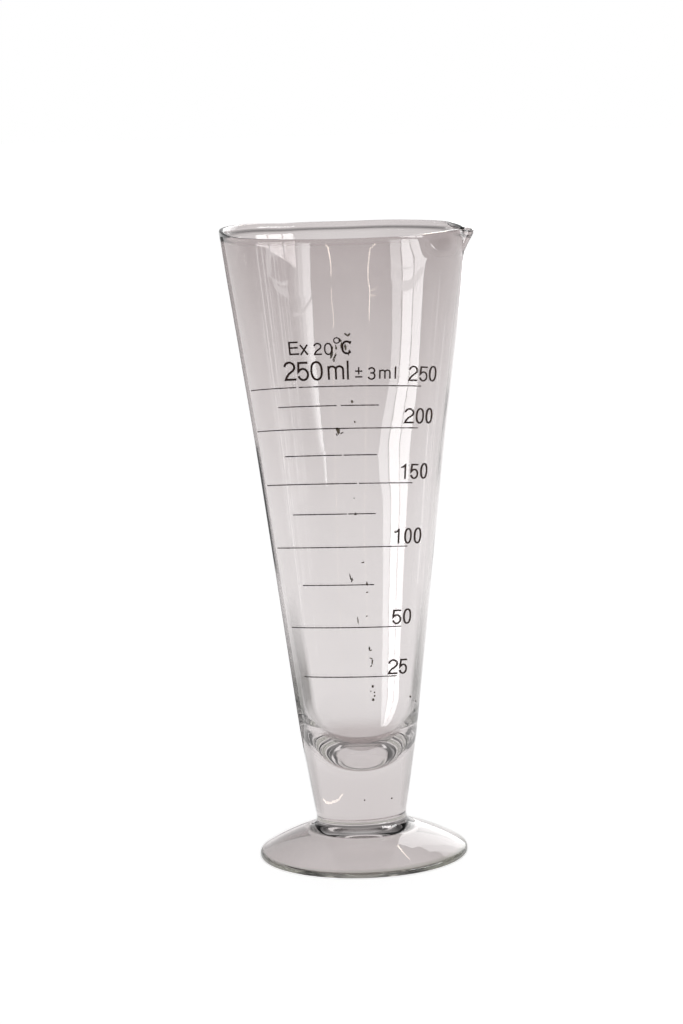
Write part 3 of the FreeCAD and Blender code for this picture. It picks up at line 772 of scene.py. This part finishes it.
def speck(angle, height, length, width, lean, chance):
    """A dried drop's crust: a low irregular lens."""
    x, y, _ = on_print(angle, height, 0)
    radius = math.hypot(x, y)
    length, width = length * SPECK_LENGTHS, width * SPECK_WIDTHS
    c, s = math.cos(math.radians(lean)), math.sin(math.radians(lean))
    points, corners = [], 14
    for lift, share in ((-EMBEDDED, 1.0), (0.03, 0.8), (0.06, 0.35)):
        spread = random.Random(chance)
        for i in range(corners):
            t = 2 * math.pi * i / corners
            wobble = share * spread.uniform(0.6, 1.15)
            u, v = length / 2 * math.cos(t) * wobble, width / 2 * math.sin(t) * wobble
            points.append(on_print(angle + math.degrees((u * c - v * s) / radius),
                                   height + u * s + v * c, lift))
    faces = [tuple(range(corners - 1, -1, -1)), tuple(range(2 * corners, 3 * corners))]
    for level in (0, corners):
        faces += [(level + i, level + (i + 1) % corners,
                   level + corners + (i + 1) % corners, level + corners + i)
                  for i in range(corners)]
    return points, faces


def residue_material():
    """Dry olive-brown crust."""
    n = Nodes("dried_residue")
    place = n.add("ShaderNodeTexCoord").outputs["Object"]
    mottle = n.add("ShaderNodeTexNoise", {"Vector": place, "Scale": 1500.0, "Detail": 3.0})
    ramp = n.add("ShaderNodeValToRGB", {"Fac": mottle.outputs["Fac"]})
    stops = ramp.color_ramp.elements
    stops[0].position, stops[0].color = 0.38, (0.028, 0.020, 0.011, 1)
    stops[1].position, stops[1].color = 0.62, (0.17, 0.13, 0.075, 1)
    n.join(ramp.outputs["Color"], n.shader.inputs["Base Color"])
    bump = n.add("ShaderNodeBump", {"Height": mottle.outputs["Fac"], "Strength": 0.6,
                                    "Distance": 0.00008})
    n.join(bump.outputs["Normal"], n.shader.inputs["Normal"])
    n.shader.inputs["Roughness"].default_value = 0.8
    return n.material


dirt = mesh_object("dried_residue",
                   *gather([speck(*entry, chance) for chance, entry in enumerate(SPECKS)]))
face_outward(dirt)
dirt.data.materials.append(residue_material())
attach(dirt, "root")

# Table: white paper, seen as plain white where no shadow falls. What the sky's light leaves
# short of white is made up by a glow that lights nothing.
FLOOR_REACH = 9000
FLOOR_GLOW = 0.74
floor = mesh_object("floor", [(-FLOOR_REACH, -FLOOR_REACH, 0), (FLOOR_REACH, -FLOOR_REACH, 0),
                              (FLOOR_REACH, FLOOR_REACH, 0), (-FLOOR_REACH, FLOOR_REACH, 0)],
                    [(0, 1, 2, 3)])
n = Nodes("floor")
n.shader.inputs["Base Color"].default_value = (0.92, 0.92, 0.92, 1)
n.shader.inputs["Roughness"].default_value = 0.9
n.shader.inputs["Specular IOR Level"].default_value = 0.0
n.shader.inputs["Emission Color"].default_value = (1, 1, 1, 1)
rays = n.add("ShaderNodeLightPath").outputs
seen = rays["Is Camera Ray"]
for kind in ("Is Glossy Ray", "Is Transmission Ray"):
    seen = n.add("ShaderNodeMath", {0: seen, 1: rays[kind]}, operation="MAXIMUM").outputs[0]
glow = n.add("ShaderNodeMath", {0: seen, 1: FLOOR_GLOW}, operation="MULTIPLY").outputs[0]
n.join(glow, n.shader.inputs["Emission Strength"])
floor.data.materials.append(n.material)
floor.location.z = -0.0002


def card(name, corners, strength, colour=(1, 1, 1)):
    """A panel that only gloss shows: bright as a window, or dark as a curtain."""
    piece = mesh_object(name, corners, [tuple(range(len(corners)))], smooth_shading=False)
    n = Nodes(name)
    n.shader.inputs["Base Color"].default_value = (0.01, 0.01, 0.01, 1)
    n.shader.inputs["Specular IOR Level"].default_value = 0.0
    n.shader.inputs["Emission Color"].default_value = (*colour, 1)
    n.shader.inputs["Emission Strength"].default_value = strength
    piece.data.materials.append(n.material)
    piece.visible_camera = False
    piece.visible_diffuse = False
    piece.visible_transmission = False
    piece.visible_shadow = False


def aside(distance, azimuth, height=0.3):
    """A point round the glass: azimuth runs from the camera's side to the right."""
    a = math.radians(azimuth + CAMERA_AZIMUTH)
    return (distance * math.sin(a), -distance * math.cos(a), height)


def floor_strip(name, near, far, strength, colour=(1, 1, 1)):
    """A strip on the table between two rows of points (distance, azimuth)."""
    card(name, [aside(*p) for p in near] + [aside(*p) for p in reversed(far)], strength, colour)


def band(inner, outer, start, end):
    """The part of the strip between two edges that runs from one share of its width to another."""
    return [[(a + (c - a) * share, b + (d - b) * share) for (a, b), (c, d) in zip(inner, outer)]
            for share in (start, end)]


def line(points, width):
    """Two edges round a row of points (distance, azimuth), a number of degrees apart."""
    return [(d, a - width / 2) for d, a in points], [(d, a + width / 2) for d, a in points]


# The window at the right: its inner and outer edge from near to far, and its three panes
INNER_EDGE = ((118, 41.1), (142, 42.5), (198, 43.0), (280, 41.3), (349, 40.2), (386, 33.1),
              (469, 45.0), (529, 46.8), (612, 45.7), (675, 42.7), (1500, 42.0))
OUTER_EDGE = ((119, 51.1), (151, 76.5), (211, 74.2), (304, 75.1), (382, 75.5), (434, 75.2),
              (536, 82.3), (607, 82.5), (706, 81.2), (794, 81.7), (1700, 86.0))
PANES = ((0.0, 0.28, 5.4), (0.32, 0.65, 9.6), (0.68, 1.0, 8.2))
for number, (start, end, strength) in enumerate(PANES):
    floor_strip("window_low_%d" % number, *band(INNER_EDGE, OUTER_EDGE, start, end), strength)
# What hangs across it, just over the strips
OVER = 0.8


def over_strip(name, ends, strength):
    card(name, [aside(*p, OVER) for p in ends], strength)


over_strip("window_streak", ((612, 44), (755, 84), (785, 84), (630, 44)), 5.8)
over_strip("window_streak_faint", ((650, 44), (815, 84), (825, 84), (658, 44)), 6.5)

# A sheet at the left, softly lit from its right
SHEET_LEFT = ((364, -32.1), (391, -34.2), (392, -37.6), (420, -41.8), (476, -45.0),
              (533, -49.5), (596, -50.4), (605, -53.1), (624, -52.1), (706, -50.0), (1100, -49.0))
SHEET_RIGHT = ((363, -30.1), (388, -29.8), (387, -30.9), (412, -32.3), (464, -33.0),
               (513, -34.1), (569, -32.6), (573, -33.1), (593, -33.1), (671, -31.2), (1000, -30.0))
SHADES = ((-0.1, 0.12, 1.8), (0.12, 0.35, 3.0), (0.35, 0.6, 5.0), (0.6, 1.0, 7.5))
for number, (start, end, strength) in enumerate(SHADES):
    floor_strip("sheet_%d" % number, *band(SHEET_LEFT, SHEET_RIGHT, start, end), strength)
over_strip("sheet_fold", ((572, -54), (566, -33), (573, -33), (579, -54)), 3.5)

# Bright warm edges on the table: their points, width in degrees and strength
WARM = (1, 0.88, 0.76)
WARM_EDGES = (
    (((660, -19.5), (651, -17.5), (641, -14.6), (619, -12.9), (592, -12.8)), 1.0, 13.0),
    (((570, -13.1), (555, -13.6), (538, -13.2), (530, -12.5), (515, -12.7)), 0.9, 7.0),
    (((659, 28.8), (646, 23.7), (616, 21.8), (585, 21.7), (562, 23.6), (545, 23.1),
      (519, 22.6)), 0.9, 12.0),
    (((141, -24.2), (264, -22.0), (400, -17.5), (500, -13.2)), 0.8, 3.5),
    (((131, 15.0), (232, 17.0), (315, 15.0), (500, 22.0)), 0.8, 3.5),
)
for number, (points, width, strength) in enumerate(WARM_EDGES):
    floor_strip("edge_warm_%d" % number, *line(points, width), strength, WARM)
# Small things there: four corners, strength and colour
SMALL_THINGS = (
    ("twig_0", ((576, 30.6), (579, 30.6), (564, 23.6), (561, 23.6)), 5.0, WARM),
    ("twig_1", ((559, 29.6), (562, 29.6), (556, 22.6), (553, 22.6)), 5.0, WARM),
    ("leaf_upper", ((721, -77.3), (645, -56.3), (637, -56.8), (706, -75.5)), 4.5, (1, 1, 1)),
    ("leaf_lower", ((699, -74.6), (632, -57.2), (612, -56.5), (668, -71.5)), 3.8, (1, 1, 1)),
    ("ghost_top", ((786, -76.0), (712, -54.3), (697, -54.9), (772, -77.2)), 3.6, (1, 1, 1)),
    ("ghost_side", ((772, -77.2), (757, -71.5), (708, -73.5), (722, -79.8)), 3.6, (1, 1, 1)),
)
for name, corners, strength, colour in SMALL_THINGS:
    card(name, [aside(*p) for p in corners], strength, colour)
# The bright curve in the stem
HOOK = ((56, -94.0), (51, -76.3), (51, -63.1), (52, -48.6), (55.5, -37.2))
HOOK_HALF = 0.8
floor_strip("hook", [(d - HOOK_HALF, a) for d, a in HOOK], [(d + HOOK_HALF, a) for d, a in HOOK],
            9.0, WARM)

# Faint upright stripes that the uneven wall draws out of whatever stands around: 12 at the
# left and the rest at the right, beyond the window
STRIPES = 22
STRIPES_LEFT = 12
stripes = random.Random(11)
for number in range(STRIPES):
    side, start = (-1, -58) if number < STRIPES_LEFT else (1, 90)
    azimuth = start + side * 3.4 * (number % STRIPES_LEFT) + stripes.uniform(-1, 1)
    width = stripes.uniform(0.4, 1.5)
    near, far = stripes.uniform(180, 380), stripes.uniform(520, 900)
    floor_strip("stripe_%02d" % number, *line(((near, azimuth), (far, azimuth)), width),
                stripes.uniform(2.4, 5.0))


def above(distance, azimuth, elevation):
    """A point in the air round the glass."""
    level = distance * math.cos(math.radians(elevation))
    return aside(level, azimuth, distance * math.sin(math.radians(elevation)))


# The window itself, at the right, as the inside of the rim shows it, and what the foot's dome
# sees of the room behind the glass
WINDOW_DISTANCE, WINDOW_FOOT, WINDOW_TOP = 700, 245, 460
for number, (start, end) in enumerate(((51.5, 62.8), (64.4, 79.8), (81.6, 95.5))):
    pane = [aside(WINDOW_DISTANCE, azimuth, height) for azimuth, height in
            ((start, WINDOW_FOOT), (end, WINDOW_FOOT), (end, WINDOW_TOP), (start, WINDOW_TOP))]
    card("window_high_%d" % number, [(x - 31, y + 25, z) for x, y, z in pane], 9.0)
ROOM_DISTANCE, ROOM_FOOT = 900, 6
ROOM = ((136, 142, 33, 1.2), (142, 148, 38, 1.7), (148, 154, 43, 2.4), (154, 176, 48, 3.0))
for number, (start, end, top, strength) in enumerate(ROOM):
    corners = ((start, ROOM_FOOT), (end, ROOM_FOOT), (end, top), (start, top))
    card("room_%d" % number, [above(ROOM_DISTANCE, *p) for p in corners], strength)
# A bright line across the foot, with a softer patch beside it
STRAND_DISTANCE, STRAND_HALF = 600, 0.8
STRAND = ((-188.6, 37.7), (-194.0, 43.5), (-199.6, 50.9), (-209.0, 56.0), (-218.8, 58.9))
for number, ((a, low), (b, high)) in enumerate(zip(STRAND, STRAND[1:])):
    corners = ((a - STRAND_HALF, low), (a + STRAND_HALF, low),
               (b + STRAND_HALF, high), (b - STRAND_HALF, high))
    card("strand_%d" % number, [above(STRAND_DISTANCE, *p) for p in corners], 10.0, WARM)
card("blot", [above(STRAND_DISTANCE, *p) for p in ((-192, 50), (-186, 50), (-196, 71), (-204, 71))],
     2.2)
# A darker part of the table behind at the left
floor_strip("dark_left", ((150, -128), (500, -140), (2500, -150)),
            ((150, -179), (500, -179), (2500, -179)), 0.2)

# Sky of the studio: white at the horizon, darker up the walls and lighter again overhead. Sine
# of the elevation, and how bright it is there.
SKY = ((0.03, 1.0), (0.14, 0.62), (0.30, 0.42), (0.50, 0.26), (0.66, 0.27), (0.85, 0.5),
       (1.0, 0.5))
# How much of that is left at the left and the right
SIDES = 0.3
world = bpy.data.worlds.new("studio")
bpy.context.scene.world = world
world.use_nodes = True
tree = world.node_tree
background = tree.nodes["Background"]
direction = tree.nodes.new("ShaderNodeTexCoord").outputs["Generated"]
split = tree.nodes.new("ShaderNodeSeparateXYZ")
tree.links.new(direction, split.inputs[0])
sky = tree.nodes.new("ShaderNodeValToRGB")
sky.color_ramp.interpolation = "EASE"
tree.links.new(split.outputs["Z"], sky.inputs["Fac"])
sky_stops = sky.color_ramp.elements
sky_stops[0].position, sky_stops[0].color = SKY[0][0], (SKY[0][1],) * 3 + (1,)
sky_stops[1].position, sky_stops[1].color = SKY[-1][0], (SKY[-1][1],) * 3 + (1,)
for height, level in SKY[1:-1]:
    sky_stops.new(height).color = (level,) * 3 + (1,)
tree.links.new(sky.outputs["Color"], background.inputs["Color"])


def world_node(kind, **settings):
    """A new node of the world."""
    node = tree.nodes.new(kind)
    for key, setting in settings.items():
        setattr(node, key, setting)
    return node


def world_range(source, *limits):
    """A value mapped from one range to another."""
    node = world_node("ShaderNodeMapRange", interpolation_type="SMOOTHSTEP")
    for key, limit in zip(("From Min", "From Max", "To Min", "To Max"), limits):
        node.inputs[key].default_value = limit
    tree.links.new(source, node.inputs["Value"])
    return node.outputs["Result"]


# The room is darker to the left and the right, above the horizon
across = world_node("ShaderNodeVectorMath", operation="DOT_PRODUCT")
tree.links.new(direction, across.inputs[0])
across.inputs[1].default_value = (*TO_RIGHT, 0)
apart = world_node("ShaderNodeMath", operation="ABSOLUTE")
tree.links.new(across.outputs["Value"], apart.inputs[0])
darker = world_node("ShaderNodeMath", operation="MULTIPLY")
tree.links.new(world_range(apart.outputs[0], 0.35, 0.8, 0.0, 1 - SIDES), darker.inputs[0])
tree.links.new(world_range(split.outputs["Z"], 0.03, 0.12, 0.0, 1.0), darker.inputs[1])
left_over = world_node("ShaderNodeMath", operation="SUBTRACT")
left_over.inputs[0].default_value = 1.0
tree.links.new(darker.outputs[0], left_over.inputs[1])
tree.links.new(left_over.outputs[0], background.inputs["Strength"])

bpy.context.scene.view_settings.view_transform = "Standard"
# Light passes many faces in thick glass
paths = bpy.context.scene.cycles
paths.max_bounces = 32
paths.glossy_bounces = 24
paths.transmission_bounces = 32

# Camera: fitted to the rim, the scale and the foot of the photographed glass. Millimetres,
# picture pixels and radians.
DISTANCE = 1005.8
EYE_HEIGHT = 266.4
FOCAL_PIXELS = 3057.7
PICTURE_HEIGHT = 1024
PITCH = 0.148308
ROLL = -0.030812
YAW = -0.003496

lens = bpy.data.cameras.new("camera")
camera = bpy.data.objects.new("camera", lens)
bpy.context.scene.collection.objects.link(camera)
bpy.context.scene.camera = camera
lens.sensor_width = 36.0
lens.lens = FOCAL_PIXELS / PICTURE_HEIGHT * lens.sensor_width
lens.clip_start = 0.01
turn = Matrix.Rotation(math.radians(CAMERA_AZIMUTH), 3, "Z")
forward = Vector((math.sin(YAW) * math.cos(PITCH), math.cos(YAW) * math.cos(PITCH),
                  -math.sin(PITCH)))
right = Vector((math.cos(YAW), -math.sin(YAW), 0))
up = right.cross(forward)
rolled_right = right * math.cos(ROLL) + up * math.sin(ROLL)
rolled_up = up * math.cos(ROLL) - right * math.sin(ROLL)
axes = turn @ Matrix((rolled_right, rolled_up, -forward)).transposed()
eye = turn @ Vector((0, -DISTANCE * MM, EYE_HEIGHT * MM))
camera.matrix_world = Matrix.Translation(eye) @ axes.to_4x4()
